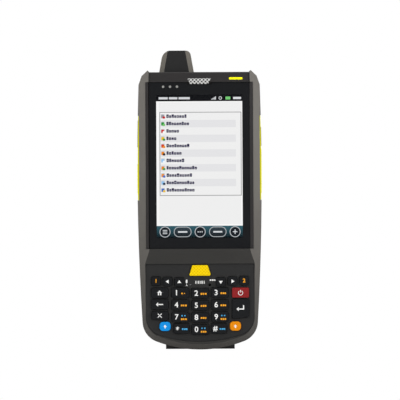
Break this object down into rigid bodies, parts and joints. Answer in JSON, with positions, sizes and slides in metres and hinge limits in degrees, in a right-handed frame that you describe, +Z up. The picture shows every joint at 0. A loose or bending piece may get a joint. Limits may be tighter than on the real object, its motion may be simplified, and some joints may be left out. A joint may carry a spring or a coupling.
{
  "type": "portable barcode data terminal",
  "caption": "Hand-held data terminal with colour display, keypad, side scan keys, stub antenna, top scan window, hinged battery door and hinged port cover.",
  "frame": {"origin": "middle of the bounding box's base, on the plane of the flat foot", "axes": "+Z up along the body, +X to the right as seen from the keypad side, display and keypad face -Y"},
  "size_m": [0.0726, 0.0288, 0.1734],
  "materials": {
    "housing_front": "fine moulded texture",
    "housing_rear": "fine moulded texture",
    "bezel_dark": "satin",
    "lens": "polished",
    "display": "lit display",
    "mesh": "woven mesh",
    "inner_dark": "moulded",
    "light_pipe": "frosted",
    "panel_dark": "satin",
    "mat": "silicone rubber",
    "board": "solder mask",
    "inner_metal": "stamped",
    "antenna": "satin",
    "brass": "plain",
    "battery": "wrapped",
    "steel": "turned",
    "trim_yellow": "soft touch",
    "connector": "gold plated contacts in black plastic",
    "rubber_cover": "matt rubber",
    "button_dark": "satin",
    "key_yellow": "hard-coated silicone",
    "key_black": "hard-coated silicone",
    "key_blue": "hard-coated silicone",
    "key_orange": "hard-coated silicone",
    "key_red": "hard-coated silicone"
  },
  "bodies": {
    "terminal": {"front_housing": "housing_front", "rear_housing": "housing_rear", "display_bezel": "bezel_dark", "touch_panel": "lens", "lcd_module": "display", "earpiece_grille": "mesh", "earpiece": "inner_dark", "status_lights": "light_pipe", "keypad_bezel": "panel_dark", "keypad_mat": "mat", "keypad_board": "board", "microphone": "inner_metal", "inner_frame": "inner_metal", "main_board": "board", "scan_engine": "inner_dark", "scan_window": "lens", "antenna_cap": "antenna", "antenna_element": "brass", "battery_pack": "battery", "door_hinge_pin": "steel", "side_trim_left": "trim_yellow", "side_trim_right": "trim_yellow", "side_port": "inner_metal", "dock_connector": "connector", "camera_module": "inner_dark", "rear_speaker": "inner_dark", "housing_screws": "steel"},
    "battery_door": {"battery_door": "housing_rear"},
    "door_latch": {"door_latch": "housing_rear"},
    "port_cover": {"port_cover": "rubber_cover"},
    "left_trigger": {"left_trigger": "trim_yellow"},
    "right_trigger": {"right_trigger": "trim_yellow"},
    "function_key": {"function_key": "button_dark"},
    "volume_rocker": {"volume_rocker": "button_dark"},
    "key_scan": {"key_scan": "key_yellow"},
    "key_program_one": {"key_program_one": "key_black"},
    "key_left": {"key_left": "key_black"},
    "key_up": {"key_up": "key_black"},
    "key_down": {"key_down": "key_black"},
    "key_right": {"key_right": "key_black"},
    "key_program_two": {"key_program_two": "key_black"},
    "key_digit_1": {"key_digit_1": "key_black"},
    "key_digit_2": {"key_digit_2": "key_black"},
    "key_digit_3": {"key_digit_3": "key_black"},
    "key_digit_4": {"key_digit_4": "key_black"},
    "key_digit_5": {"key_digit_5": "key_black"},
    "key_digit_6": {"key_digit_6": "key_black"},
    "key_digit_7": {"key_digit_7": "key_black"},
    "key_digit_8": {"key_digit_8": "key_black"},
    "key_digit_9": {"key_digit_9": "key_black"},
    "key_digit_0": {"key_digit_0": "key_black"},
    "key_star": {"key_star": "key_black"},
    "key_hash": {"key_hash": "key_black"},
    "key_function": {"key_function": "key_blue"},
    "key_alpha": {"key_alpha": "key_orange"},
    "key_home": {"key_home": "key_black"},
    "key_power": {"key_power": "key_red"},
    "key_back": {"key_back": "key_black"},
    "key_escape": {"key_escape": "key_black"},
    "key_enter": {"key_enter": "key_black"}
  },
  "joints": [
    {"name": "door_hinge", "type": "hinge", "parent": "terminal", "child": "battery_door", "pos_m": [0, 0.0126, 0.016], "axis": [-1, 0, 0], "range_deg": [0, 85]},
    {"name": "door_latch_slide", "type": "slide", "parent": "battery_door", "child": "door_latch", "axis": [0, 0, 1], "range_m": [0, 0.002]},
    {"name": "port_cover_hinge", "type": "hinge", "parent": "terminal", "child": "port_cover", "pos_m": [0.0349, 0, 0.0792], "axis": [0, -1, 0], "range_deg": [0, 95]},
    {"name": "left_trigger_press", "type": "slide", "parent": "terminal", "child": "left_trigger", "axis": [1, 0, 0], "range_m": [0, 0.0008], "stiffness_N_per_m": 2500},
    {"name": "right_trigger_press", "type": "slide", "parent": "terminal", "child": "right_trigger", "axis": [-1, 0, 0], "range_m": [0, 0.0008], "stiffness_N_per_m": 2500},
    {"name": "function_key_press", "type": "slide", "parent": "terminal", "child": "function_key", "axis": [-1, 0, 0], "range_m": [0, 0.0008], "stiffness_N_per_m": 2500},
    {"name": "volume_rock", "type": "hinge", "parent": "terminal", "child": "volume_rocker", "pos_m": [-0.03455, 0, 0.12545], "axis": [0, 1, 0], "range_deg": [-3, 3], "stiffness_Nm_per_rad": 0.2},
    {"name": "key_scan_press", "type": "slide", "parent": "terminal", "child": "key_scan", "axis": [0, 1, 0], "range_m": [0, 0.0008], "stiffness_N_per_m": 1900},
    {"name": "key_program_one_press", "type": "slide", "parent": "terminal", "child": "key_program_one", "axis": [0, 1, 0], "range_m": [0, 0.0008], "stiffness_N_per_m": 1900},
    {"name": "key_left_press", "type": "slide", "parent": "terminal", "child": "key_left", "axis": [0, 1, 0], "range_m": [0, 0.0008], "stiffness_N_per_m": 1900},
    {"name": "key_up_press", "type": "slide", "parent": "terminal", "child": "key_up", "axis": [0, 1, 0], "range_m": [0, 0.0008], "stiffness_N_per_m": 1900},
    {"name": "key_down_press", "type": "slide", "parent": "terminal", "child": "key_down", "axis": [0, 1, 0], "range_m": [0, 0.0008], "stiffness_N_per_m": 1900},
    {"name": "key_right_press", "type": "slide", "parent": "terminal", "child": "key_right", "axis": [0, 1, 0], "range_m": [0, 0.0008], "stiffness_N_per_m": 1900},
    {"name": "key_program_two_press", "type": "slide", "parent": "terminal", "child": "key_program_two", "axis": [0, 1, 0], "range_m": [0, 0.0008], "stiffness_N_per_m": 1900},
    {"name": "key_digit_1_press", "type": "slide", "parent": "terminal", "child": "key_digit_1", "axis": [0, 1, 0], "range_m": [0, 0.0008], "stiffness_N_per_m": 1900},
    {"name": "key_digit_2_press", "type": "slide", "parent": "terminal", "child": "key_digit_2", "axis": [0, 1, 0], "range_m": [0, 0.0008], "stiffness_N_per_m": 1900},
    {"name": "key_digit_3_press", "type": "slide", "parent": "terminal", "child": "key_digit_3", "axis": [0, 1, 0], "range_m": [0, 0.0008], "stiffness_N_per_m": 1900},
    {"name": "key_digit_4_press", "type": "slide", "parent": "terminal", "child": "key_digit_4", "axis": [0, 1, 0], "range_m": [0, 0.0008], "stiffness_N_per_m": 1900},
    {"name": "key_digit_5_press", "type": "slide", "parent": "terminal", "child": "key_digit_5", "axis": [0, 1, 0], "range_m": [0, 0.0008], "stiffness_N_per_m": 1900},
    {"name": "key_digit_6_press", "type": "slide", "parent": "terminal", "child": "key_digit_6", "axis": [0, 1, 0], "range_m": [0, 0.0008], "stiffness_N_per_m": 1900},
    {"name": "key_digit_7_press", "type": "slide", "parent": "terminal", "child": "key_digit_7", "axis": [0, 1, 0], "range_m": [0, 0.0008], "stiffness_N_per_m": 1900},
    {"name": "key_digit_8_press", "type": "slide", "parent": "terminal", "child": "key_digit_8", "axis": [0, 1, 0], "range_m": [0, 0.0008], "stiffness_N_per_m": 1900},
    {"name": "key_digit_9_press", "type": "slide", "parent": "terminal", "child": "key_digit_9", "axis": [0, 1, 0], "range_m": [0, 0.0008], "stiffness_N_per_m": 1900},
    {"name": "key_digit_0_press", "type": "slide", "parent": "terminal", "child": "key_digit_0", "axis": [0, 1, 0], "range_m": [0, 0.0008], "stiffness_N_per_m": 1900},
    {"name": "key_star_press", "type": "slide", "parent": "terminal", "child": "key_star", "axis": [0, 1, 0], "range_m": [0, 0.0008], "stiffness_N_per_m": 1900},
    {"name": "key_hash_press", "type": "slide", "parent": "terminal", "child": "key_hash", "axis": [0, 1, 0], "range_m": [0, 0.0008], "stiffness_N_per_m": 1900},
    {"name": "key_function_press", "type": "slide", "parent": "terminal", "child": "key_function", "axis": [0, 1, 0], "range_m": [0, 0.0008], "stiffness_N_per_m": 1900},
    {"name": "key_alpha_press", "type": "slide", "parent": "terminal", "child": "key_alpha", "axis": [0, 1, 0], "range_m": [0, 0.0008], "stiffness_N_per_m": 1900},
    {"name": "key_home_press", "type": "slide", "parent": "terminal", "child": "key_home", "axis": [0, 1, 0], "range_m": [0, 0.0008], "stiffness_N_per_m": 1900},
    {"name": "key_power_press", "type": "slide", "parent": "terminal", "child": "key_power", "axis": [0, 1, 0], "range_m": [0, 0.0008], "stiffness_N_per_m": 1900},
    {"name": "key_back_press", "type": "slide", "parent": "terminal", "child": "key_back", "axis": [0, 1, 0], "range_m": [0, 0.0008], "stiffness_N_per_m": 1900},
    {"name": "key_escape_press", "type": "slide", "parent": "terminal", "child": "key_escape", "axis": [0, 1, 0], "range_m": [0, 0.0008], "stiffness_N_per_m": 1900},
    {"name": "key_enter_press", "type": "slide", "parent": "terminal", "child": "key_enter", "axis": [0, 1, 0], "range_m": [0, 0.0008], "stiffness_N_per_m": 1900}
  ]
}
